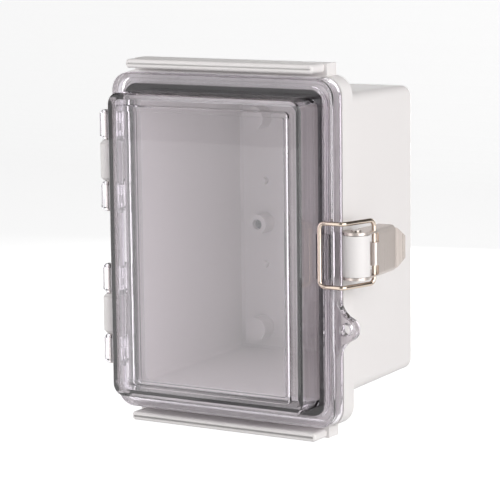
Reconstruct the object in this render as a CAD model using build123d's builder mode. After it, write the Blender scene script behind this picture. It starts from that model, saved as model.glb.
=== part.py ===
from build123d import *
import os
from math import radians, tan

os.makedirs("parts", exist_ok=True)

# Wall-mounted hinged enclosure in millimetres. X is right, Z is up and Y runs into the wall.
# The origin is the centre of the flat back face, so "height" below means the distance
# in front of that face, and a point at height h has Y = -h.

# Case: a drafted box with a flange round its mouth
flange_width = 116.0
flange_height = 156.0
flange_corner = 9.0
flange_back = 79.0
flange_front = 88.2
flange_lip_side = 9.0
flange_lip_end = 9.35
body_width = flange_width - 2 * flange_lip_side
body_height = flange_height - 2 * flange_lip_end
body_corner = 4.6
back_edge = 4.4
draft = 1.1
wall = 3.0
floor_edge = 1.2
tongue_width = 2.0
tongue_height = 2.1

# Door: a clear moulding with a skirted rim and a window raised in two steps
parting_gap = 0.3
rim_inset_side = 0.5
rim_inset_end = 0.6
rim_rise = 8.2
rim_width = flange_width - 2 * rim_inset_side
rim_height = flange_height - 2 * rim_inset_end
rim_front = flange_front + rim_rise
rim_corner = 8.8
rim_step = 2.9
rim_step_in = 0.3
rim_edge = 0.6
rim_band = 5.0
band_corner = 4.0
skirt_wall = 2.7
plate_sink = 0.8
plate_thick = 2.6
plate_front = rim_front - plate_sink
plate_back = plate_front - plate_thick
lower_inset_side = 7.7
lower_inset_end = 8.2
lower_rise = 14.7
lower_width = rim_width - 2 * lower_inset_side
lower_height = rim_height - 2 * lower_inset_end
lower_corner = 5.5
lower_front = rim_front + lower_rise
lower_edge = 0.6
window_inset_side = 5.3
window_inset_end = 5.2
window_rise = 1.9
window_width = lower_width - 2 * window_inset_side
window_height = lower_height - 2 * window_inset_end
window_corner = 2.0
window_front = lower_front + window_rise
window_edge = 0.5
side_wall = 3.0
pane = 2.7

# Gasket in the door's groove, facing the tongue of the case
gasket_inset_side = 7.5
gasket_inset_end = 7.0
gasket_half_x = rim_width / 2 - gasket_inset_side
gasket_half_z = rim_height / 2 - gasket_inset_end
gasket_corner = 5.0
gasket_width = 4.0
gasket_thick = 2.4
gasket_clearance = 0.05
groove_rib = 1.15

# Rails above and below, each a block on the flange with a strip seated on its front
rail_inset = 8.0
rail_rise = 5.3
rail_step = 0.7
rail_width = flange_width - 2 * rail_inset
rail_top = flange_height / 2 + rail_rise
rail_front = flange_front - rail_step
strip_inset = 1.3
strip_gap = 1.9
strip_over = 0.1
strip_rise = 1.4
strip_width = rail_width - 2 * strip_inset
strip_bottom = rim_height / 2 + strip_gap
strip_top = rail_top + strip_over
strip_front = rim_front + strip_rise
strip_edge = 1.2
strip_corner = 0.44 * (strip_top - strip_bottom)
key_inset = 8.7
key_width = strip_width - 2 * key_inset
key_thick = 2.0
key_depth = 2.5
key_clearance = 0.02

# Hinges: a block of the case between two knuckles of the door, on one steel pin
hinge_out = 6.2
hinge_rise = 1.4
hinge_from_end = 41.6
hinge_x = -flange_width / 2 - hinge_out
hinge_height = flange_front + hinge_rise
hinge_radius = 3.8
hinge_middle = rim_height / 2 - hinge_from_end
block_length = 18.8
knuckle_length = 13.7
knuckle_gap = 0.3
knuckle_edge = 1.5
pocket_spacing = 8.2
pocket_length = 4.6
pocket_depth = 1.8
link_thick = 4.9
pin_radius = 1.5
pin_end = 1.0
pin_fixed = 0.02
pin_running = 0.08

# Toggle latch: boss of the case, pressed lever, wire bail and the keeper on the rim
pivot_out = 5.8
pivot_sink = 1.1
pivot_x = flange_width / 2 + pivot_out
pivot_height = flange_front - pivot_sink
lever_width = 21.0
lever_sheet = 1.2
ear_gap = 0.2
boss_radius = 6.2
boss_length = lever_width - 2 * lever_sheet - 2 * ear_gap
boss_step = 0.6
boss_back = flange_back + boss_step
pivot_radius = 1.6
head_radius = 2.3
head_thick = 0.6
head_gap = 0.1
lever_ear = 6.0
lever_bend = 2.3
lever_length = 26.6
lever_end = pivot_height - lever_length
lever_lean = 1.0
lever_cheek = 8.3
tip_length = 5.6
tip_angle = 20.0
tip_width = 10.0
slot_depth = 0.5
slot_clearance = 0.3
bail_radius = 1.0
bail_side = 3.5
bail_width = lever_width + 2 * bail_side
bail_shift = 0.9
bail_corner = 2.6
bail_out = 4.6
bail_back = 7.97
bail_x = pivot_x + bail_out
bail_height = pivot_height - bail_back
elbow_in = 0.7
elbow_x = pivot_x - elbow_in
hook_inset = 5.6
hook_x = rim_width / 2 - hook_inset
elbow_rise = 1.8
hook_rise = 2.1
elbow_height = rim_front + elbow_rise
hook_height = rim_front + hook_rise
curl_length = 10.2
curl_radius = 1.9
curl_clearance = 0.05
web_gap = 0.15
keeper_inset = 1.2
keeper_rise = 1.4
keeper_root = 0.5
keeper_inner = lower_width / 2 - keeper_root
keeper_outer = rim_width / 2 - keeper_inset
keeper_front = rim_front + keeper_rise
keeper_length = lever_width - 1.0
bead_width = 2.0
bead_outer = keeper_outer - 0.4
bead_height = 0.4
bead_inset = 0.8
hook_clearance = 0.3

# Eye on the door for a padlock or seal, below the latch
eye_out = 3.8
eye_x = rim_width / 2 + eye_out
eye_level = -32.6
eye_radius = 5.4
eye_hole = 2.4
eye_blend = 10.6
eye_thick = 4.9
eye_edge = 0.5

# Bosses on the floor of the case, all set a little below its middle
boss_level = -2.0
pad_inset_side = 16.3
pad_inset_end = 17.05
pad_x = body_width / 2 - pad_inset_side
pad_z = body_height / 2 - pad_inset_end
pad_radius = 5.6
pad_height = 8.5
plate_boss_inset = 18.0
plate_boss_x = body_width / 2 - plate_boss_inset
plate_boss_radius = 4.85
plate_boss_height = 8.5
stud_x = plate_boss_x
stud_z = 20.4
stud_radius = 1.75
stud_height = 3.0

# Brass inserts: four in the pads from behind, two in the plate bosses from the front
insert_radius = 2.5
insert_bore = 1.65
insert_length = 6.0
insert_fit = 0.02
insert_recess = 0.3
plate_insert_depth = 2.5

# Sizes that follow from those above
slope = tan(radians(draft))
flange_side = flange_width / 2
rim_side = rim_width / 2
skirt_back = flange_front + parting_gap
gasket_back = plate_back - gasket_thick
lever_face = bail_x + curl_radius
block_centres = [hinge_middle, -hinge_middle]


def facing(height):
    """The plane that looks out of the front of the box at this height."""
    return Plane.XZ.offset(height)


def level(z):
    """The horizontal plane at this Z, with X to the right and Y into the wall."""
    return Plane.XY.offset(z)


def ring(half_x, half_z, corner, width):
    """A rounded rectangular ring about a centre line, drawn in the current sketch."""
    RectangleRounded(2 * half_x + width, 2 * half_z + width, corner + width / 2)
    RectangleRounded(2 * half_x - width, 2 * half_z - width, corner - width / 2, mode=Mode.SUBTRACT)


def eye(side_x):
    """The padlock eye: a round lobe that runs into a straight side with concave blends."""
    reach = eye_radius + eye_blend
    across = side_x + eye_blend - eye_x
    rise = (reach**2 - across**2) ** 0.5
    share = eye_radius / reach
    touch_x = eye_x + across * share
    touch_z = rise * share
    middle_x = side_x + eye_blend - eye_blend * (1 + across / reach) / (2 + 2 * across / reach) ** 0.5
    middle_z = rise - eye_blend * (rise / reach) / (2 + 2 * across / reach) ** 0.5
    root = side_x - 2.5
    with BuildLine() as outline:
        Line((root, eye_level + rise), (side_x, eye_level + rise))
        ThreePointArc(
            (side_x, eye_level + rise), (middle_x, eye_level + middle_z), (touch_x, eye_level + touch_z)
        )
        ThreePointArc(
            (touch_x, eye_level + touch_z), (eye_x + eye_radius, eye_level), (touch_x, eye_level - touch_z)
        )
        ThreePointArc(
            (touch_x, eye_level - touch_z), (middle_x, eye_level - middle_z), (side_x, eye_level - rise)
        )
        Line((side_x, eye_level - rise), (root, eye_level - rise))
        Line((root, eye_level - rise), (root, eye_level + rise))
    make_face(outline.edges())
    with Locations((eye_x, eye_level)):
        Circle(eye_hole, mode=Mode.SUBTRACT)


# Hollow of the case, drafted like the outside and rounded at the floor
floor_shrink = 2 * (flange_back - wall) * slope
with BuildPart() as hollow:
    with BuildSketch(facing(wall)):
        RectangleRounded(
            body_width - 2 * wall - floor_shrink, body_height - 2 * wall - floor_shrink, floor_edge + 0.4
        )
    extrude(amount=flange_front + 5 - wall, taper=-draft)
    chamfer(hollow.faces().sort_by(Axis.Y)[-1].edges(), floor_edge)

# Block of one hinge, a barrel round the pin on a web from the flange
with BuildPart() as hinge_block:
    with BuildSketch(level(-block_length / 2)):
        with Locations((hinge_x, -hinge_height)):
            Circle(hinge_radius)
        with Locations((-flange_side + 0.5, -(flange_back + flange_front + 1.5) / 2)):
            Rectangle(1, flange_front - flange_back - 1.5)
        make_hull()
        with Locations((hinge_x / 2, -flange_front - hinge_radius)):
            Rectangle(-hinge_x, 2 * hinge_radius, mode=Mode.SUBTRACT)
        with Locations((hinge_x, -hinge_height)):
            Circle(hinge_radius)
    extrude(amount=block_length)
    ends = hinge_block.faces().sort_by(Axis.Z)
    rims = ends[0].edges() + ends[-1].edges()
    chamfer(rims.filter_by_position(Axis.X, 2 * hinge_x, -flange_side - 2), knuckle_edge)
    with BuildSketch(level(-block_length)):
        with Locations((hinge_x, -hinge_height)):
            Circle(pin_radius + pin_fixed)
    extrude(amount=2 * block_length, mode=Mode.SUBTRACT)

# Latch boss, round about the pivot and cut back beside the door
with BuildPart() as latch_boss:
    with BuildSketch(level(-boss_length / 2)):
        with Locations((pivot_x, -pivot_height)):
            Circle(boss_radius)
        with Locations(((pivot_x + flange_side - 2) / 2, -(boss_back + flange_front) / 2)):
            Rectangle(pivot_x - flange_side + 2, flange_front - boss_back)
        with Locations((flange_side + 0.3 - boss_radius / 2, -flange_front - boss_radius / 2)):
            Rectangle(boss_radius, boss_radius, mode=Mode.SUBTRACT)
    extrude(amount=boss_length)

# Case, one moulding with flange, rail blocks, hinge blocks, latch boss and bosses
with BuildPart() as base:
    with BuildSketch(facing(0)):
        RectangleRounded(
            body_width - 2 * flange_back * slope, body_height - 2 * flange_back * slope, body_corner
        )
    extrude(amount=flange_back + 1, taper=-draft)
    fillet(base.faces().sort_by(Axis.Y)[-1].edges(), back_edge)
    with BuildSketch(facing(flange_back)):
        RectangleRounded(flange_width, flange_height, flange_corner)
    extrude(amount=flange_front - flange_back)
    with BuildSketch(facing(flange_back)):
        for side in (1, -1):
            with Locations((0, side * (rail_top + flange_height / 2 - 2) / 2)):
                Rectangle(rail_width, rail_top - flange_height / 2 + 2)
    extrude(amount=rail_front - flange_back)
    with BuildSketch(facing(flange_front)):
        ring(gasket_half_x, gasket_half_z, gasket_corner, tongue_width)
    extrude(amount=tongue_height)
    with Locations(*[(0, 0, centre) for centre in block_centres]):
        add(hinge_block.part)
    add(latch_boss.part)
    add(hollow.part, mode=Mode.SUBTRACT)
    # Bosses on the floor
    with BuildSketch(facing(wall - 1)):
        with Locations((0, boss_level)):
            with GridLocations(2 * pad_x, 2 * pad_z, 2, 2):
                Circle(pad_radius)
    extrude(amount=pad_height + 1)
    with BuildSketch(facing(wall - 1)):
        with Locations((0, boss_level)):
            with GridLocations(2 * plate_boss_x, 1, 2, 1):
                Circle(plate_boss_radius)
    extrude(amount=plate_boss_height + 1)
    with BuildSketch(facing(wall - 1)):
        with Locations((0, boss_level)):
            with GridLocations(2 * stud_x, 2 * stud_z, 2, 2):
                Circle(stud_radius)
    extrude(amount=stud_height + 1)
    # Seats of the inserts
    with BuildSketch(facing(0)):
        with Locations((0, boss_level)):
            with GridLocations(2 * pad_x, 2 * pad_z, 2, 2):
                Circle(insert_radius + insert_fit)
    extrude(amount=insert_recess + insert_length, mode=Mode.SUBTRACT)
    with BuildSketch(facing(wall + plate_boss_height)):
        with Locations((0, boss_level)):
            with GridLocations(2 * plate_boss_x, 1, 2, 1):
                Circle(insert_radius + insert_fit)
    extrude(amount=-plate_insert_depth - insert_length, mode=Mode.SUBTRACT)
    # Bore of the latch pivot, and slots in the flange where the ears of the lever turn
    with BuildSketch(level(-boss_length)):
        with Locations((pivot_x, -pivot_height)):
            Circle(pivot_radius + pin_fixed)
    extrude(amount=2 * boss_length, mode=Mode.SUBTRACT)
    slot_width = (lever_width - boss_length) / 2 + slot_clearance
    for side in (1, -1):
        with BuildSketch(facing(flange_back - 1)):
            with Locations((flange_side, side * (boss_length + slot_width) / 2)):
                Rectangle(2 * slot_depth, slot_width)
        extrude(amount=flange_front - flange_back + 2, mode=Mode.SUBTRACT)
    # Grooves for the keys of the rail strips
    with BuildSketch(facing(rail_front)):
        for side in (1, -1):
            with Locations((0, side * (strip_top + strip_bottom) / 2)):
                Rectangle(key_width + 2 * key_clearance, key_thick + 2 * key_clearance)
    extrude(amount=-key_depth - key_clearance, mode=Mode.SUBTRACT)
base.part.label = "base"
export_step(base.part, "parts/base.step")

# Hollow behind the door: under the two steps of the window, and inside the skirt
with BuildPart() as door_hollow:
    with BuildSketch(facing(skirt_back - 1)):
        RectangleRounded(
            rim_width - 2 * skirt_wall, rim_height - 2 * skirt_wall, rim_corner - skirt_wall
        )
    extrude(amount=plate_back - skirt_back + 1)
    with BuildSketch(facing(plate_back - 1)):
        RectangleRounded(
            lower_width - 2 * side_wall, lower_height - 2 * side_wall, lower_corner - side_wall
        )
    extrude(amount=lower_front - pane - plate_back + 1)
    with BuildSketch(facing(plate_back)):
        RectangleRounded(window_width - 2 * pane, window_height - 2 * pane, window_corner / 2)
    extrude(amount=window_front - pane - plate_back)

# One knuckle of the door, a barrel on a flat link from the skirt
with BuildPart() as knuckle:
    with BuildSketch(level(-knuckle_length / 2)):
        with Locations((hinge_x, -hinge_height)):
            Circle(hinge_radius)
        with Locations(((hinge_x - rim_side + 1) / 2, -skirt_back - link_thick / 2)):
            Rectangle(-rim_side + 1 - hinge_x, link_thick)
    extrude(amount=knuckle_length)
    ends = knuckle.faces().sort_by(Axis.Z)
    rims = ends[0].edges() + ends[-1].edges()
    chamfer(rims.filter_by(GeomType.CIRCLE), knuckle_edge)
    with BuildSketch(level(-knuckle_length)):
        with Locations((hinge_x, -hinge_height)):
            Circle(pin_radius + pin_running)
    extrude(amount=2 * knuckle_length, mode=Mode.SUBTRACT)
knuckle_offset = block_length / 2 + knuckle_gap + knuckle_length / 2

# Eye of the door, its front and back edges eased
with BuildPart() as lock_eye:
    with BuildSketch(facing(skirt_back)):
        eye(rim_side)
    extrude(amount=eye_thick)
    arcs = lock_eye.edges().filter_by(GeomType.CIRCLE)
    chamfer(arcs.filter_by_position(Axis.X, rim_side, eye_x + 2 * eye_radius), eye_edge)

# Door, one clear moulding with rim, window, groove, knuckles, keeper and eye
with BuildPart() as door:
    with BuildSketch(facing(skirt_back)):
        RectangleRounded(rim_width, rim_height, rim_corner)
    extrude(amount=rim_front - rim_step - skirt_back)
    with BuildSketch(facing(rim_front - rim_step)):
        RectangleRounded(
            rim_width - 2 * rim_step_in, rim_height - 2 * rim_step_in, rim_corner - rim_step_in
        )
    extrude(amount=rim_step)
    chamfer(door.faces().sort_by(Axis.Y)[0].edges(), rim_edge)
    with BuildSketch(facing(rim_front)):
        RectangleRounded(rim_width - 2 * rim_band, rim_height - 2 * rim_band, band_corner)
    extrude(amount=plate_front - rim_front, mode=Mode.SUBTRACT)
    with BuildSketch(facing(plate_front - 1)):
        RectangleRounded(lower_width, lower_height, lower_corner)
    extrude(amount=lower_front - plate_front + 1)
    chamfer(door.faces().sort_by(Axis.Y)[0].edges(), lower_edge)
    with BuildSketch(facing(lower_front - 1)):
        RectangleRounded(window_width, window_height, window_corner)
    extrude(amount=window_front - lower_front + 1)
    chamfer(door.faces().sort_by(Axis.Y)[0].edges(), window_edge)
    add(lock_eye.part)
    with BuildSketch(facing(plate_front - 1)):
        with Locations(((keeper_inner + keeper_outer) / 2, 0)):
            RectangleRounded(keeper_outer - keeper_inner, keeper_length, 0.8)
    extrude(amount=keeper_front - plate_front + 1)
    with BuildSketch(facing(keeper_front)):
        with Locations((bead_outer - bead_width / 2, 0)):
            RectangleRounded(bead_width, keeper_length - 2 * bead_inset, 0.45 * bead_width)
    extrude(amount=bead_height)
    add(door_hollow.part, mode=Mode.SUBTRACT)
    # Ribs on both sides of the gasket
    with BuildSketch(facing(gasket_back)):
        shift = gasket_width / 2 + gasket_clearance + groove_rib / 2
        ring(gasket_half_x + shift, gasket_half_z + shift, gasket_corner + shift, groove_rib)
        inner_half_x = gasket_half_x - shift
        inner_half_z = gasket_half_z - shift
        inner_corner = gasket_corner - shift
    extrude(amount=gasket_thick + 0.5)
    with BuildSketch(facing(gasket_back)):
        ring(inner_half_x, inner_half_z, inner_corner, groove_rib)
    extrude(amount=gasket_thick + 0.5)
    with Locations(
        *[(0, 0, centre + side * knuckle_offset) for centre in block_centres for side in (1, -1)]
    ):
        add(knuckle.part)
    # Two pockets in the skirt behind each knuckle
    knuckle_centres = [centre + side * knuckle_offset for centre in block_centres for side in (1, -1)]
    with BuildSketch(facing(skirt_back)):
        for centre in knuckle_centres:
            with Locations((-rim_side + skirt_wall - pocket_depth / 2, centre)):
                with GridLocations(1, pocket_spacing, 1, 2):
                    Rectangle(pocket_depth, pocket_length)
    extrude(amount=plate_back - skirt_back, mode=Mode.SUBTRACT)
    # Seat of the bail along the keeper
    with BuildSketch(level(-keeper_length)):
        with Locations((hook_x, -hook_height)):
            Circle(bail_radius + hook_clearance)
    extrude(amount=2 * keeper_length, mode=Mode.SUBTRACT)
door.part.label = "door"
export_step(door.part, "parts/door.step")

# Gasket, a foamed ring in the groove of the door
with BuildPart() as gasket:
    with BuildSketch(facing(gasket_back)):
        ring(gasket_half_x, gasket_half_z, gasket_corner, gasket_width)
    extrude(amount=gasket_thick)
gasket.part.label = "gasket"
export_step(gasket.part, "parts/gasket.step")

# Rail strips, alike above and below, each with a key in the groove of its block
for side, name in ((1, "top_rail_strip"), (-1, "bottom_rail_strip")):
    middle = side * (strip_top + strip_bottom) / 2
    with BuildPart() as strip:
        with BuildSketch(facing(rail_front)):
            with Locations((0, middle)):
                RectangleRounded(strip_width, strip_top - strip_bottom, strip_corner)
        extrude(amount=strip_front - rail_front)
        chamfer(strip.faces().sort_by(Axis.Y)[0].edges(), strip_edge)
        with BuildSketch(facing(rail_front - key_depth)):
            with Locations((0, middle)):
                Rectangle(key_width, key_thick)
        extrude(amount=key_depth)
    strip.part.label = name
    export_step(strip.part, f"parts/{name}.step")

# Hinge pins, held by the blocks of the case
pin_length = block_length + 2 * (knuckle_gap + knuckle_length - pin_end)
for centre, name in zip(block_centres, ("hinge_pin_upper", "hinge_pin_lower")):
    with BuildPart() as pin:
        with BuildSketch(level(centre - pin_length / 2)):
            with Locations((hinge_x, -hinge_height)):
                Circle(pin_radius)
        extrude(amount=pin_length)
    pin.part.label = name
    export_step(pin.part, f"parts/{name}.step")

# Latch pin through the boss and the lever, with a riveted head at each end
with BuildPart() as latch_pin:
    head_level = lever_width / 2 + head_gap
    with BuildSketch(level(-head_level)):
        with Locations((pivot_x, -pivot_height)):
            Circle(pivot_radius)
    extrude(amount=2 * head_level)
    for side in (1, -1):
        with BuildSketch(level(side * head_level)):
            with Locations((pivot_x, -pivot_height)):
                Circle(head_radius)
        extrude(amount=side * head_thick)
latch_pin.part.label = "latch_pin"
export_step(latch_pin.part, "parts/latch_pin.step")

# Lever, a channel pressed from sheet with ears on the pin, a curl on the bail and a bent tip
end_face = lever_face - lever_lean
web_start = bail_height - bail_radius - web_gap
with BuildPart() as lever_inside:
    with BuildSketch(level(-lever_width / 2 + lever_sheet)):
        with BuildLine():
            Polyline(
                (pivot_x - 2 * lever_ear, -pivot_height - 2 * lever_ear),
                (lever_face + lever_sheet, -pivot_height - 2 * lever_ear),
                (lever_face + lever_sheet, -web_start),
                (lever_face - lever_sheet, -web_start),
                (end_face - lever_sheet, -lever_end),
                (end_face - lever_sheet, -lever_end + 10),
                (pivot_x - 2 * lever_ear, -lever_end + 10),
                close=True,
            )
        make_face()
    extrude(amount=lever_width - 2 * lever_sheet)
    bends = lever_inside.edges().filter_by(lambda edge: abs(edge.center().X - lever_face) < 2)
    long_bends = bends.filter_by_position(Axis.Y, -bail_height + 3, -lever_end - 3)
    fillet(long_bends, lever_bend - lever_sheet)
with BuildPart() as lever:
    with BuildSketch(level(-lever_width / 2)):
        with BuildLine():
            Polyline(
                (pivot_x + 0.8 * lever_ear, -pivot_height),
                (lever_face, -bail_height - 1.0),
                (lever_face, -web_start),
                (end_face, -lever_end),
                (end_face - lever_cheek, -lever_end - 0.6),
                (pivot_x - 0.6 * lever_ear, -pivot_height + 0.6 * lever_ear),
                (pivot_x, -pivot_height),
                close=True,
            )
        make_face()
    extrude(amount=lever_width)
    bends = lever.edges().filter_by(lambda edge: abs(edge.center().X - lever_face) < 1.2)
    long_bends = bends.filter_by_position(Axis.Y, -bail_height + 3, -lever_end - 3)
    fillet(long_bends, lever_bend)
    add(lever_inside.part, mode=Mode.SUBTRACT)
    # Round ears on the pin
    for side in (1, -1):
        with BuildSketch(level(side * (lever_width / 2 - lever_sheet))):
            with Locations((pivot_x, -pivot_height)):
                Circle(lever_ear)
        extrude(amount=side * lever_sheet)
    # Bent tip with its corners cut
    tip_out = tip_length * tan(radians(tip_angle))
    with BuildSketch(Plane.YZ.offset(end_face - 2 * lever_sheet), mode=Mode.PRIVATE) as tip_outline:
        with BuildLine():
            Polyline(
                (-lever_end - 0.3, lever_width / 2 - lever_bend + 0.8),
                (-lever_end + 1.0, lever_width / 2 - lever_bend + 0.8),
                (-lever_end + tip_length, tip_width / 2),
                (-lever_end + tip_length, -tip_width / 2),
                (-lever_end + 1.0, -lever_width / 2 + lever_bend - 0.8),
                (-lever_end - 0.3, -lever_width / 2 + lever_bend - 0.8),
                close=True,
            )
        make_face()
    with BuildPart(mode=Mode.PRIVATE) as tip:
        with BuildSketch(level(-lever_width / 2)):
            with BuildLine():
                Polyline(
                    (end_face, -lever_end - 0.3),
                    (end_face, -lever_end),
                    (end_face + tip_out, -lever_end + tip_length),
                    (end_face + tip_out - lever_sheet, -lever_end + tip_length),
                    (end_face - lever_sheet, -lever_end),
                    (end_face - lever_sheet, -lever_end - 0.3),
                    close=True,
                )
            make_face()
        extrude(amount=lever_width)
        extrude(tip_outline.sketch, amount=4 * lever_sheet + tip_out, mode=Mode.INTERSECT)
    add(tip.part)
    # Curl round the bail
    with BuildSketch(level(-curl_length / 2)):
        with Locations((bail_x, -bail_height)):
            Circle(curl_radius)
        with Locations((lever_face - lever_sheet / 2, -bail_height + curl_radius / 2 + 0.2)):
            Rectangle(lever_sheet, curl_radius + 0.4)
    extrude(amount=curl_length)
    with BuildSketch(level(-lever_width)):
        with Locations((bail_x, -bail_height)):
            Circle(bail_radius + curl_clearance)
        with Locations((pivot_x, -pivot_height)):
            Circle(pivot_radius + pin_running)
    extrude(amount=2 * lever_width, mode=Mode.SUBTRACT)
lever.part.label = "latch_lever"
export_step(lever.part, "parts/latch_lever.step")

# Bail, a closed wire loop from the lever over the rim to the keeper
high = bail_shift + bail_width / 2
low = bail_shift - bail_width / 2
with BuildPart() as bail:
    with BuildLine() as path:
        FilletPolyline(
            (bail_x, -bail_height, high),
            (elbow_x, -elbow_height, high),
            (hook_x, -hook_height, high),
            (hook_x, -hook_height, low),
            (elbow_x, -elbow_height, low),
            (bail_x, -bail_height, low),
            radius=bail_corner,
            close=True,
        )
    with BuildSketch(Plane(path.line @ 0, z_dir=path.line % 0)):
        Circle(bail_radius)
    sweep()
bail.part.label = "latch_bail"
export_step(bail.part, "parts/latch_bail.step")

# Threaded inserts
wall_seat = insert_recess
plate_seat = wall + plate_boss_height - plate_insert_depth - insert_length
upper = boss_level + pad_z
lower = boss_level - pad_z
insert_seats = {
    "wall_insert_upper_left": (-pad_x, upper, wall_seat),
    "wall_insert_upper_right": (pad_x, upper, wall_seat),
    "wall_insert_lower_left": (-pad_x, lower, wall_seat),
    "wall_insert_lower_right": (pad_x, lower, wall_seat),
    "plate_insert_left": (-plate_boss_x, boss_level, plate_seat),
    "plate_insert_right": (plate_boss_x, boss_level, plate_seat),
}
for name, (seat_x, seat_z, seat_height) in insert_seats.items():
    with BuildPart() as insert:
        with BuildSketch(facing(seat_height)):
            with Locations((seat_x, seat_z)):
                Circle(insert_radius)
                Circle(insert_bore, mode=Mode.SUBTRACT)
        extrude(amount=insert_length)
    insert.part.label = name
    export_step(insert.part, f"parts/{name}.step")
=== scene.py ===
import math
import bmesh
import bpy
import numpy as np
from mathutils import Matrix, Vector


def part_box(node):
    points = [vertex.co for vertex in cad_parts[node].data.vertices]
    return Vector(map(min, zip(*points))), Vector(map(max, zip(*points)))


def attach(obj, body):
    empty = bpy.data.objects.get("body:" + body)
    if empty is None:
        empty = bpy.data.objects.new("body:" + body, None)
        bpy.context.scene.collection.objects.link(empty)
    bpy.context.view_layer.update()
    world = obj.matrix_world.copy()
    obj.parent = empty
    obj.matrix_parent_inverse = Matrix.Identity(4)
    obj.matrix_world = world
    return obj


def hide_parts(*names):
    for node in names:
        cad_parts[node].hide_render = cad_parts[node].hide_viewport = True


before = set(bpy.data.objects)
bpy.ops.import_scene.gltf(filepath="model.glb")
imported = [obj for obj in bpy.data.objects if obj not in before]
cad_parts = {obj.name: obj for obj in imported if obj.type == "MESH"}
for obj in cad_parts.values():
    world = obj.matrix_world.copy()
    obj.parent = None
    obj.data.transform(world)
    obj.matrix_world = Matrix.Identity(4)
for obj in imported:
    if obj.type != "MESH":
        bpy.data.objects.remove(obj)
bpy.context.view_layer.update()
scene = bpy.context.scene

# The camera stands a good metre away, to the right of the door and a little above it
cameraView = {"turn": 31.097, "rise": 8.754, "roll": -0.6705, "distance": 1.0468,
              "aim": (0.01692, -0.0990, 0.00073), "focalPixels": 2365.7, "framePixels": 500,
              "sensor": 36.0, "clipNear": 0.05, "clipFar": 50.0}


def makeCamera(view):
    # the three axes come from the turn and rise angles, then the roll turns two of them
    turn, rise, roll = (math.radians(view[key]) for key in ("turn", "rise", "roll"))
    back = Vector((math.sin(turn) * math.cos(rise), -math.cos(turn) * math.cos(rise), math.sin(rise)))
    right = (-back).cross(Vector((0, 0, 1))).normalized()
    up = back.cross(right)
    rolledRight = math.cos(roll) * right + math.sin(roll) * up
    rolledUp = -math.sin(roll) * right + math.cos(roll) * up
    place = Vector(view["aim"]) + back * view["distance"]
    data = bpy.data.cameras.new("photoCamera")
    data.sensor_width = view["sensor"]
    data.lens = view["focalPixels"] * view["sensor"] / view["framePixels"]
    data.clip_start = view["clipNear"]
    data.clip_end = view["clipFar"]
    camera = bpy.data.objects.new("photoCamera", data)
    scene.collection.objects.link(camera)
    axes = Matrix((rolledRight, rolledUp, back)).transposed().to_4x4()
    camera.matrix_world = Matrix.Translation(place) @ axes
    scene.camera = camera


makeCamera(cameraView)
scene.view_settings.view_transform = "Standard"
print("camera placed")

# Soft studio light: a large panel on the right, a weaker one on the left, faint ones all round
studioLamps = {
    "rightPanel": {"place": (1.6, -0.4, 0.45), "aim": (0.0, -0.05, 0.0), "size": (1.8, 2.0), "power": 37.5},
    "leftPanel": {"place": (-0.62, -0.85, 0.3), "aim": (0.0, -0.08, 0.0), "size": (1.9, 1.6), "power": 14.0},
    "frontPanel": {"place": (-0.35, -1.9, 0.75), "aim": (0.0, -0.08, 0.0), "size": (1.6, 1.6), "power": 1.0,
                   "mirrored": False},
    "topPanel": {"place": (0.1, -0.35, 1.6), "aim": (0.0, -0.05, 0.0), "size": (1.2, 1.2), "power": 1.2},
    "backPanel": {"place": (-0.5, 1.9, 0.05), "aim": (0.0, -0.05, 0.0), "size": (1.2, 0.6), "power": 9.0},
}


def addPanel(name, spec):
    data = bpy.data.lights.new(name, "AREA")
    data.shape = "RECTANGLE"
    data.size, data.size_y = spec["size"]
    data.energy = spec["power"]
    lamp = bpy.data.objects.new(name, data)
    scene.collection.objects.link(lamp)
    lamp.location = spec["place"]
    # a lamp that isn't mirrored lights the box without showing as a bright patch in the clear door
    lamp.visible_glossy = spec.get("mirrored", True)
    lamp.visible_transmission = spec.get("mirrored", True)
    lamp.rotation_euler = (Vector(spec["place"]) - Vector(spec["aim"])).to_track_quat("Z", "Y").to_euler()


for lampName, lampSpec in studioLamps.items():
    addPanel(lampName, lampSpec)


def feed(tree, socket, value):
    # a socket takes either a value of its own or the output of another node
    if isinstance(value, bpy.types.NodeSocket):
        tree.links.new(value, socket)
    else:
        socket.default_value = value


def addMath(tree, operation, *values):
    node = tree.nodes.new("ShaderNodeMath")
    node.operation = operation
    for socket, value in zip(node.inputs, values):
        feed(tree, socket, value)
    return node.outputs[0]


def addMix(tree, factor, low, high):
    # low where the factor is 0, high where it is 1
    node = tree.nodes.new("ShaderNodeMix")
    for index, value in ((0, factor), (2, low), (3, high)):
        feed(tree, node.inputs[index], value)
    return node.outputs[0]


def seenThroughClear(tree, path):
    # 1 for a ray that left the clear plastic, unless it bounced off a dull surface and only carries light
    direct = addMath(tree, "LESS_THAN", path.outputs["Diffuse Depth"], 0.5)
    return addMath(tree, "MULTIPLY", path.outputs["Is Transmission Ray"], direct)


# White to the camera and through the clear plastic, dimmer in polished metal, faint as a light
studioWorld = {"fill": 0.05, "inGloss": 0.12, "throughClear": 1.0, "toCamera": 1.0}


def makeWorld(spec):
    world = bpy.data.worlds.new("studioWorld")
    scene.world = world
    world.use_nodes = True
    tree = world.node_tree
    tree.nodes.clear()
    path = tree.nodes.new("ShaderNodeLightPath")
    sky = tree.nodes.new("ShaderNodeBackground")
    sky.inputs["Color"].default_value = (1, 1, 1, 1)
    out = tree.nodes.new("ShaderNodeOutputWorld")
    gloss = addMix(tree, path.outputs["Is Glossy Ray"], spec["fill"], spec["inGloss"])
    clear = addMix(tree, seenThroughClear(tree, path), gloss, spec["throughClear"])
    feed(tree, sky.inputs["Strength"], addMix(tree, path.outputs["Is Camera Ray"], clear, spec["toCamera"]))
    feed(tree, out.inputs["Surface"], sky.outputs[0])


makeWorld(studioWorld)
print("lights and world set")

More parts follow.
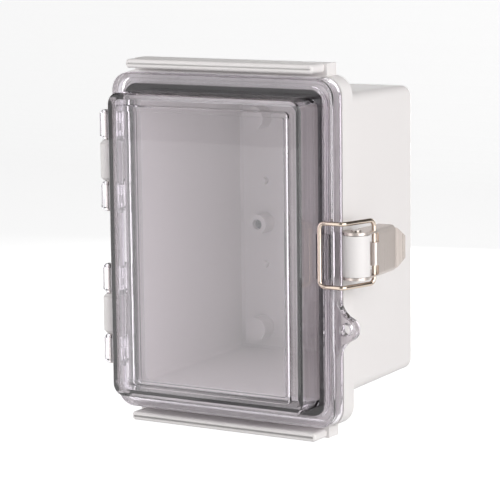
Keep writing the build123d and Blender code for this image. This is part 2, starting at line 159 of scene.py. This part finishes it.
# Floor far below the box, bent up behind it
floorShape = {"level": -0.32, "front": -3.0, "back": 2.4, "halfWidth": 3.0, "bend": 0.9, "bendSteps": 25,
              "height": 2.6, "tone": 0.6, "glow": 0.85, "glowInGloss": 0.7}


def makePaper(shape):
    # the paper glows for the camera and through clear plastic, less in polished metal
    material = bpy.data.materials.new("palePaper")
    material.use_nodes = True
    tree = material.node_tree
    tree.nodes.clear()
    path = tree.nodes.new("ShaderNodeLightPath")
    paper = tree.nodes.new("ShaderNodeBsdfDiffuse")
    paper.inputs["Color"].default_value = (shape["tone"], shape["tone"], shape["tone"], 1)
    glow = tree.nodes.new("ShaderNodeEmission")
    glow.inputs["Color"].default_value = (1, 1, 1, 1)
    both = tree.nodes.new("ShaderNodeAddShader")
    out = tree.nodes.new("ShaderNodeOutputMaterial")
    straight = addMath(tree, "MAXIMUM", path.outputs["Is Camera Ray"], seenThroughClear(tree, path))
    full = addMath(tree, "MULTIPLY", straight, shape["glow"])
    mirrored = addMath(tree, "MULTIPLY", path.outputs["Is Glossy Ray"], shape["glowInGloss"])
    feed(tree, glow.inputs["Strength"], addMath(tree, "MAXIMUM", full, mirrored))
    feed(tree, both.inputs[0], paper.outputs[0])
    feed(tree, both.inputs[1], glow.outputs[0])
    feed(tree, out.inputs[0], both.outputs[0])
    return material


def makeFloor(shape):
    # the profile runs flat along Y, turns through a quarter circle of the bend radius, then climbs
    arc = np.linspace(0, math.pi / 2, shape["bendSteps"])
    turnY = shape["back"] + shape["bend"] * np.sin(arc)
    turnZ = shape["level"] + shape["bend"] * (1 - np.cos(arc))
    profileY = np.concatenate([[shape["front"]], turnY, [turnY[-1]]])
    profileZ = np.concatenate([[shape["level"]], turnZ, [shape["level"] + shape["height"]]])
    count = len(profileY)
    places = np.zeros((2, count, 3))
    places[0, :, 0] = -shape["halfWidth"]
    places[1, :, 0] = shape["halfWidth"]
    places[:, :, 1] = profileY
    places[:, :, 2] = profileZ
    row = np.arange(count - 1)
    faces = np.stack([row, row + count, row + count + 1, row + 1], 1)
    mesh = bpy.data.meshes.new("studioFloor")
    mesh.from_pydata(places.reshape(-1, 3).tolist(), [], faces.tolist())
    mesh.update()
    floor = bpy.data.objects.new("studioFloor", mesh)
    scene.collection.objects.link(floor)
    mesh.materials.append(makePaper(shape))


makeFloor(floorShape)
print("floor made")


# Shader groups: each gives a colour, a roughness and the height of a bump
def newGroup(name, inputs):
    group = bpy.data.node_groups.new(name, "ShaderNodeTree")
    for socketName, kind in inputs:
        group.interface.new_socket(name=socketName, in_out="INPUT", socket_type=kind)
    for socketName, kind in (("Color", "NodeSocketColor"), ("Roughness", "NodeSocketFloat"),
                             ("Height", "NodeSocketFloat")):
        group.interface.new_socket(name=socketName, in_out="OUTPUT", socket_type=kind)
    return group, group.nodes.new("NodeGroupInput"), group.nodes.new("NodeGroupOutput")


def addNoise(group, vector, scale, detail):
    noise = group.nodes.new("ShaderNodeTexNoise")
    feed(group, noise.inputs["Vector"], vector)
    feed(group, noise.inputs["Scale"], scale)
    feed(group, noise.inputs["Detail"], detail)
    return noise.outputs["Fac"]


def varyTone(group, entry, leave, noise, amountName, roughShare):
    # the noise, centred on nought, scales the tone by the amount and shifts the roughness by a share
    centred = addMath(group, "SUBTRACT", noise, 0.5)
    amount = addMath(group, "MULTIPLY_ADD", centred, entry.outputs[amountName], 1.0)
    tint = group.nodes.new("ShaderNodeVectorMath")
    tint.operation = "SCALE"
    feed(group, tint.inputs[0], entry.outputs["Tone"])
    feed(group, tint.inputs["Scale"], amount)
    feed(group, leave.inputs["Color"], tint.outputs[0])
    rough = addMath(group, "MULTIPLY_ADD", centred, roughShare, entry.outputs["Roughness"])
    feed(group, leave.inputs["Roughness"], rough)


# Moulded plastic: a slow drift of tone, and a fine grain for the bump
mouldedLook = {"cloudScale": 14.0, "cloudDetail": 3.0, "grainDetail": 2.0, "roughShare": 0.12}


def makeMouldedGroup(look):
    group, entry, leave = newGroup(
        "mouldedSkin", [("Tone", "NodeSocketColor"), ("Drift", "NodeSocketFloat"),
                        ("Grain Scale", "NodeSocketFloat"), ("Roughness", "NodeSocketFloat")])
    place = group.nodes.new("ShaderNodeTexCoord").outputs["Object"]
    cloud = addNoise(group, place, look["cloudScale"], look["cloudDetail"])
    varyTone(group, entry, leave, cloud, "Drift", look["roughShare"])
    grain = addNoise(group, place, entry.outputs["Grain Scale"], look["grainDetail"])
    feed(group, leave.inputs["Height"], grain)
    return group


# Brushed metal: noise drawn out along one axis gives streaks in tone, roughness and height
brushedLook = {"streakScale": 1.0, "streakDetail": 4.0, "roughShare": 0.25}


def makeBrushedGroup(look):
    group, entry, leave = newGroup(
        "brushedStreaks", [("Tone", "NodeSocketColor"), ("Contrast", "NodeSocketFloat"),
                           ("Roughness", "NodeSocketFloat"), ("Stretch", "NodeSocketVector")])
    drawn = group.nodes.new("ShaderNodeVectorMath")
    drawn.operation = "MULTIPLY"
    feed(group, drawn.inputs[0], group.nodes.new("ShaderNodeTexCoord").outputs["Object"])
    feed(group, drawn.inputs[1], entry.outputs["Stretch"])
    streak = addNoise(group, drawn.outputs[0], look["streakScale"], look["streakDetail"])
    varyTone(group, entry, leave, streak, "Contrast", look["roughShare"])
    feed(group, leave.inputs["Height"], streak)
    return group


mouldedSkin = makeMouldedGroup(mouldedLook)
brushedStreaks = makeBrushedGroup(brushedLook)


def linear(code):
    # a colour written as on screen, turned into the linear values that the shader wants
    parts = np.array([int(code[i:i + 2], 16) for i in (1, 3, 5)]) / 255.0
    return (*np.where(parts <= 0.04045, parts / 12.92, ((parts + 0.055) / 1.055) ** 2.4), 1.0)


def newFinish(name):
    material = bpy.data.materials.new(name)
    material.use_nodes = True
    return material, material.node_tree, material.node_tree.nodes["Principled BSDF"]


def addSkin(tree, shader, group, values, bumpStrength, bumpDistance,
            fed=(("Color", "Base Color"), ("Roughness", "Roughness"))):
    # the group's height bends the normal; its outputs named in fed go straight to the shader
    skin = tree.nodes.new("ShaderNodeGroup")
    skin.node_tree = group
    for socketName, value in values.items():
        skin.inputs[socketName].default_value = value
    for outputName, socketName in fed:
        feed(tree, shader.inputs[socketName], skin.outputs[outputName])
    bump = tree.nodes.new("ShaderNodeBump")
    bump.inputs["Strength"].default_value = bumpStrength
    bump.inputs["Distance"].default_value = bumpDistance
    feed(tree, bump.inputs["Height"], skin.outputs["Height"])
    feed(tree, shader.inputs["Normal"], bump.outputs["Normal"])
    return skin


def mouldedValues(spec):
    return {"Tone": linear(spec["tone"]), "Drift": spec["drift"], "Grain Scale": spec["grain"],
            "Roughness": spec["roughness"]}


# Light grey polycarbonate of the case and its strips
casePlastic = {"tone": "#e6e2e1", "drift": 0.02, "grain": 4000.0, "roughness": 0.45, "bump": 0.02,
               "bumpDistance": 0.0002, "index": 1.58, "specular": 0.4}


def makeCaseFinish(spec):
    material, tree, shader = newFinish("greyCasePlastic")
    addSkin(tree, shader, mouldedSkin, mouldedValues(spec), spec["bump"], spec["bumpDistance"])
    shader.inputs["IOR"].default_value = spec["index"]
    shader.inputs["Specular IOR Level"].default_value = spec["specular"]
    return material


# Clear polycarbonate of the door, with painted shade on its padlock eye
clearPlastic = {"tone": "#eeebef", "drift": 0.01, "grain": 60.0, "roughness": 0.02, "bump": 0.02,
                "bumpDistance": 0.0002, "index": 1.58, "shadowTone": "#c8c4c8",
                "eyePaintedShade": "#bab3b8", "eyeShadeFrom": 0.0562, "eyeShadeTo": 0.0588}


def makeClearFinish(spec):
    material, tree, shader = newFinish("clearDoorPlastic")
    skin = addSkin(tree, shader, mouldedSkin, mouldedValues(spec), spec["bump"], spec["bumpDistance"], ())
    # painted shade: the clear plastic of the padlock eye beside the rim is tinted darker, told by its place
    # along X, standing in for the shade seen through the thick eye
    place = tree.nodes.new("ShaderNodeTexCoord")
    split = tree.nodes.new("ShaderNodeSeparateXYZ")
    eyeShadeMask = tree.nodes.new("ShaderNodeMapRange")
    eyeShadeMask.inputs["From Min"].default_value = spec["eyeShadeFrom"]
    eyeShadeMask.inputs["From Max"].default_value = spec["eyeShadeTo"]
    eyeShaded = tree.nodes.new("ShaderNodeMix")
    eyeShaded.data_type = "RGBA"
    feed(tree, split.inputs[0], place.outputs["Object"])
    feed(tree, eyeShadeMask.inputs["Value"], split.outputs["X"])
    feed(tree, eyeShaded.inputs[0], eyeShadeMask.outputs["Result"])
    feed(tree, eyeShaded.inputs[6], skin.outputs["Color"])
    feed(tree, eyeShaded.inputs[7], linear(spec["eyePaintedShade"]))
    feed(tree, shader.inputs["Base Color"], eyeShaded.outputs[2])
    shader.inputs["Roughness"].default_value = spec["roughness"]
    shader.inputs["IOR"].default_value = spec["index"]
    shader.inputs["Transmission Weight"].default_value = 1.0
    # light goes straight through for shadow rays, so that the inside of the box is lit
    passing = tree.nodes.new("ShaderNodeBsdfTransparent")
    passing.inputs["Color"].default_value = linear(spec["shadowTone"])
    mix = tree.nodes.new("ShaderNodeMixShader")
    path = tree.nodes.new("ShaderNodeLightPath")
    feed(tree, mix.inputs[0], path.outputs["Is Shadow Ray"])
    feed(tree, mix.inputs[1], shader.outputs[0])
    feed(tree, mix.inputs[2], passing.outputs[0])
    feed(tree, tree.nodes["Material Output"].inputs["Surface"], mix.outputs[0])
    return material


# Dark foamed rubber of the gasket
foamRubber = {"tone": "#6d6469", "drift": 0.2, "grain": 2200.0, "roughness": 0.85, "bump": 0.5,
              "bumpDistance": 0.0003}


def makeFoamFinish(spec):
    material, tree, shader = newFinish("darkFoamRubber")
    addSkin(tree, shader, mouldedSkin, mouldedValues(spec), spec["bump"], spec["bumpDistance"])
    return material


# Metals of the latch, the pins and the inserts
metals = {
    "pressedSteel": {"tone": "#c6bcb6", "contrast": 0.16, "roughness": 0.3, "bump": 0.08,
                     "stretch": (1500.0, 1500.0, 30.0)},
    "polishedWire": {"tone": "#cbbcae", "contrast": 0.06, "roughness": 0.12, "bump": 0.01,
                     "stretch": (300.0, 300.0, 300.0)},
    "pinSteel": {"tone": "#bdb8b2", "contrast": 0.12, "roughness": 0.22, "bump": 0.03,
                 "stretch": (1200.0, 1200.0, 60.0)},
    "turnedBrass": {"tone": "#cfa85c", "contrast": 0.15, "roughness": 0.28, "bump": 0.05,
                    "stretch": (60.0, 2500.0, 60.0)},
    "platedInsert": {"tone": "#97959c", "contrast": 0.15, "roughness": 0.35, "bump": 0.05,
                     "stretch": (60.0, 2500.0, 60.0)},
}
streakDepth = 0.0001  # bump distance of the brushed streaks


def makeMetalFinish(name, spec):
    material, tree, shader = newFinish(name)
    values = {"Tone": linear(spec["tone"]), "Contrast": spec["contrast"], "Roughness": spec["roughness"],
              "Stretch": spec["stretch"]}
    addSkin(tree, shader, brushedStreaks, values, spec["bump"], streakDepth)
    shader.inputs["Metallic"].default_value = 1.0
    return material


finishes = {
    "case": makeCaseFinish(casePlastic),
    "clear": makeClearFinish(clearPlastic),
    "foam": makeFoamFinish(foamRubber),
}
for metalName, metalSpec in metals.items():
    finishes[metalName] = makeMetalFinish(metalName, metalSpec)

nodeFinish = {
    "base": "case", "top_rail_strip": "case", "bottom_rail_strip": "case", "door": "clear", "gasket": "foam",
    "hinge_pin_upper": "pinSteel", "hinge_pin_lower": "pinSteel", "latch_pin": "pinSteel",
    "latch_lever": "pressedSteel", "latch_bail": "polishedWire",
    "wall_insert_upper_left": "turnedBrass", "wall_insert_upper_right": "turnedBrass",
    "wall_insert_lower_left": "turnedBrass", "wall_insert_lower_right": "turnedBrass",
    "plate_insert_left": "platedInsert", "plate_insert_right": "platedInsert",
}
for nodeName, finishName in nodeFinish.items():
    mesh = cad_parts[nodeName].data
    mesh.materials.clear()
    mesh.materials.append(finishes[finishName])
print("finishes set")

weldDistance = 1e-7  # points of a grid closer than this become one


def makePiece(name, places, body, finishName, nodesReplaced, sharpAngle):
    # a grid of points (rows, columns, 3), closed in both directions; doubled points are merged and
    # the normals recalculated, so seams and poles close and faces point outwards
    rows, columns = places.shape[:2]
    row, column = np.meshgrid(np.arange(rows), np.arange(columns), indexing="ij")
    nextRow, nextColumn = (row + 1) % rows, (column + 1) % columns
    faces = np.stack([row * columns + column, row * columns + nextColumn,
                      nextRow * columns + nextColumn, nextRow * columns + column], 2).reshape(-1, 4)
    mesh = bpy.data.meshes.new(name)
    mesh.from_pydata(places.reshape(-1, 3).tolist(), [], faces.tolist())
    work = bmesh.new()
    work.from_mesh(mesh)
    bmesh.ops.remove_doubles(work, verts=work.verts, dist=weldDistance)
    bmesh.ops.recalc_face_normals(work, faces=work.faces)
    work.to_mesh(mesh)
    work.free()
    mesh.polygons.foreach_set("use_smooth", np.ones(len(mesh.polygons), bool))
    mesh.set_sharp_from_angle(angle=math.radians(sharpAngle))
    mesh.materials.append(finishes[finishName])
    piece = bpy.data.objects.new(name, mesh)
    scene.collection.objects.link(piece)
    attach(piece, body)
    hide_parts(*nodesReplaced)


def roundedLoop(corners, radius, steps):
    # a closed loop of straight runs; each corner becomes an arc from the run before it to the run
    # after it: centre - radius * side * cos(a) + radius * before * sin(a), a from 0 to the turn
    corners = np.array(corners, float)
    before = corners - np.roll(corners, 1, 0)
    before /= np.linalg.norm(before, axis=1)[:, None]
    after = np.roll(before, -1, 0)
    cosine = np.sum(before * after, 1)
    turn = np.arccos(np.clip(cosine, -1, 1))
    side = after - before * cosine[:, None]
    side /= np.linalg.norm(side, axis=1)[:, None]
    centre = corners - before * (radius * np.tan(turn / 2))[:, None] + radius * side
    part = np.linspace(0, 1, steps)
    angle = turn[:, None, None] * part[None, :, None]
    points = (centre[:, None] - radius * side[:, None] * np.cos(angle)
              + radius * before[:, None] * np.sin(angle))
    tangents = before[:, None] * np.cos(angle) + side[:, None] * np.sin(angle)
    return points.reshape(-1, 3), tangents.reshape(-1, 3), part


def carrySection(points, across, up, section):
    # every point of the section stands at path point + first * across + second * up
    return points[:, None] + section[None, :, :1] * across[:, None] + section[None, :, 1:] * up[:, None]


# Wire bail, from the lever's curl over the rim to the keeper
wireBail = {"radius": 0.001, "bend": 0.0026, "high": 0.0149, "low": -0.0131, "rear": (0.0684, -0.07913),
            "elbow": (0.0631, -0.0982), "hook": (0.0519, -0.0985), "around": 20, "bendSteps": 11,
            "sharpAngle": 60.0}


def makeWireBail(spec):
    # a circle carried round the bent loop; its first axis is level and square to the nearest leg
    rear, elbow, hook = (np.array([*spec[key], 0.0]) for key in ("rear", "elbow", "hook"))
    high, low = np.array([0, 0, spec["high"]]), np.array([0, 0, spec["low"]])
    corners = [rear + high, elbow + high, hook + high, hook + low, elbow + low, rear + low]
    points, tangents, part = roundedLoop(corners, spec["bend"], spec["bendSteps"])
    rearLeg = (elbow - rear) / np.linalg.norm(elbow - rear)
    frontLeg = (hook - elbow) / np.linalg.norm(hook - elbow)
    starts = np.array([rearLeg, rearLeg, frontLeg, frontLeg, frontLeg, rearLeg])
    ends = np.array([rearLeg, frontLeg, frontLeg, frontLeg, rearLeg, rearLeg])
    legs = starts[:, None] + (ends - starts)[:, None] * part[None, :, None]
    across = np.cross(legs.reshape(-1, 3), [0, 0, 1])
    across /= np.linalg.norm(across, axis=1)[:, None]
    up = np.cross(tangents, across)
    angle = np.linspace(0, 2 * math.pi, spec["around"], endpoint=False)
    section = spec["radius"] * np.stack([np.cos(angle), np.sin(angle)], 1)
    makePiece("wireBail", carrySection(points, across, up, section), "bail",
              "polishedWire", ["latch_bail"], spec["sharpAngle"])


makeWireBail(wireBail)

# Foam gasket, flat where it is glued in the groove and crowned where the case presses it
foamGasket = {"halfWidth": 0.002, "rise": 0.0024, "corner": 0.005, "cornerSteps": 12, "crownSteps": 15,
              "square": 0.6, "sharpAngle": 40.0}


def makeFoamGasket(spec):
    # the section is half of a superellipse: width * |cos|^square, rise * |sin|^square
    low, high = (np.array(corner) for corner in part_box("gasket"))
    halfX, halfZ, front = high[0] - spec["halfWidth"], high[2] - spec["halfWidth"], low[1]
    corners = [(halfX, front, halfZ), (-halfX, front, halfZ), (-halfX, front, -halfZ), (halfX, front, -halfZ)]
    points, tangents = roundedLoop(corners, spec["corner"], spec["cornerSteps"])[:2]
    backwards = np.array([0.0, 1.0, 0.0])
    across = np.cross(tangents, backwards)
    angle = np.linspace(0, math.pi, spec["crownSteps"])
    wide = np.sign(np.cos(angle)) * np.abs(np.cos(angle)) ** spec["square"]
    tall = np.abs(np.sin(angle)) ** spec["square"]
    section = np.stack([spec["halfWidth"] * wide, spec["rise"] * tall], 1)
    up = np.broadcast_to(backwards, points.shape)
    makePiece("foamGasket", carrySection(points, across, up, section), "door_leaf", "foam",
              ["gasket"], spec["sharpAngle"])


makeFoamGasket(foamGasket)

# Rail strips with rounded ends and edges, and the key that sits in the groove of the block
railStrip = {"edge": 0.0012, "edgeSteps": 7, "corner": 0.0018, "cornerSteps": 9, "keyDepth": 0.0025,
             "keyInset": 0.0087, "keyThick": 0.002, "keyCorner": 0.0002, "leastCorner": 0.0001,
             "sharpAngle": 30.0}


def makeRailStrip(name, node, spec):
    # outlines stacked from the back of the key to the front face: each is a rounded rectangle,
    # and near the front it shrinks by edge * (1 - cos) while it climbs by edge * sin
    low, high = (np.array(corner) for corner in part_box(node))
    middle, half = (low + high) / 2, (high - low) / 2
    key = (half[0] - spec["keyInset"], spec["keyThick"] / 2, spec["keyCorner"])
    body = (half[0], half[2], spec["corner"])
    bend = np.linspace(0, math.pi / 2, spec["edgeSteps"])
    shoulder = high[1] - spec["keyDepth"]
    shrink = spec["edge"] * (1 - np.cos(bend))
    climb = low[1] + spec["edge"] * (1 - np.sin(bend))
    levels = [(high[1], key, 0.0), (shoulder, key, 0.0), (shoulder, body, 0.0)]
    levels += [(height, body, inset) for height, inset in zip(climb, shrink)]
    turn = np.linspace(0, math.pi / 2, spec["cornerSteps"])
    angle = (turn[None] + np.arange(4)[:, None] * math.pi / 2).reshape(-1)
    signX = np.repeat([1, -1, -1, 1], spec["cornerSteps"])
    signZ = np.repeat([1, 1, -1, -1], spec["cornerSteps"])
    rings = []
    for height, (halfX, halfZ, corner), inset in levels:
        arc = max(corner - inset, spec["leastCorner"])
        x = signX * (halfX - inset - arc) + arc * np.cos(angle)
        z = signZ * (halfZ - inset - arc) + arc * np.sin(angle)
        rings.append(np.stack([middle[0] + x, np.full(x.shape, height), middle[2] + z], 1))
    # both ends close on a line along the middle; the grid also joins these two lines, which
    # leaves one hidden sheet inside the strip
    backLine, frontLine = rings[0].copy(), rings[-1].copy()
    backLine[:, 2] = frontLine[:, 2] = middle[2]
    places = np.array([backLine, *rings, frontLine])
    makePiece(name, places, "case", "case", [node], spec["sharpAngle"])


makeRailStrip("railStripTop", "top_rail_strip", railStrip)
makeRailStrip("railStripBottom", "bottom_rail_strip", railStrip)

# Threaded inserts: knurled outside, a triangular thread inside, a lead-in at both mouths
threadedInsert = {"outer": 0.0025, "knurl": 0.00008, "teeth": 20, "minor": 0.00165, "major": 0.002,
                  "pitch": 0.0007, "leadIn": 0.0004, "around": 80, "outerSteps": 5, "threadSteps": 60,
                  "sharpAngle": 25.0}


def makeThreadedInsert(name, node, finishName, spec):
    # outer radius = outer - knurl * (0.5 + 0.5 cos(teeth * angle)); inner radius = minor plus a
    # triangle wave of depth major - minor, one pitch of height for each turn, opened at the mouths
    low, high = (np.array(corner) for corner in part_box(node))
    centre = (low + high) / 2
    angle = np.linspace(0, 2 * math.pi, spec["around"], endpoint=False)[:, None]
    outerY = np.linspace(low[1], high[1], spec["outerSteps"])[None]
    innerY = np.linspace(high[1], low[1], spec["threadSteps"])[None]
    outer = spec["outer"] - spec["knurl"] * (0.5 + 0.5 * np.cos(spec["teeth"] * angle)) + 0 * outerY
    phase = (innerY / spec["pitch"] - angle / (2 * math.pi)) % 1.0
    thread = spec["minor"] + (spec["major"] - spec["minor"]) * (1 - np.abs(2 * phase - 1))
    mouth = np.minimum(innerY - low[1], high[1] - innerY)
    inner = np.maximum(thread, spec["major"] - mouth * (spec["major"] - spec["minor"]) / spec["leadIn"])
    radius = np.concatenate([outer, inner], 1)
    height = np.concatenate([outerY, innerY], 1) + 0 * angle
    places = np.stack([centre[0] + radius * np.cos(angle), height, centre[2] + radius * np.sin(angle)], 2)
    makePiece(name, places, "case", finishName, [node], spec["sharpAngle"])


for insertNode in ("wall_insert_upper_left", "wall_insert_upper_right", "wall_insert_lower_left",
                   "wall_insert_lower_right", "plate_insert_left", "plate_insert_right"):
    makeThreadedInsert("threaded_" + insertNode, insertNode, nodeFinish[insertNode], threadedInsert)
print("new pieces made")
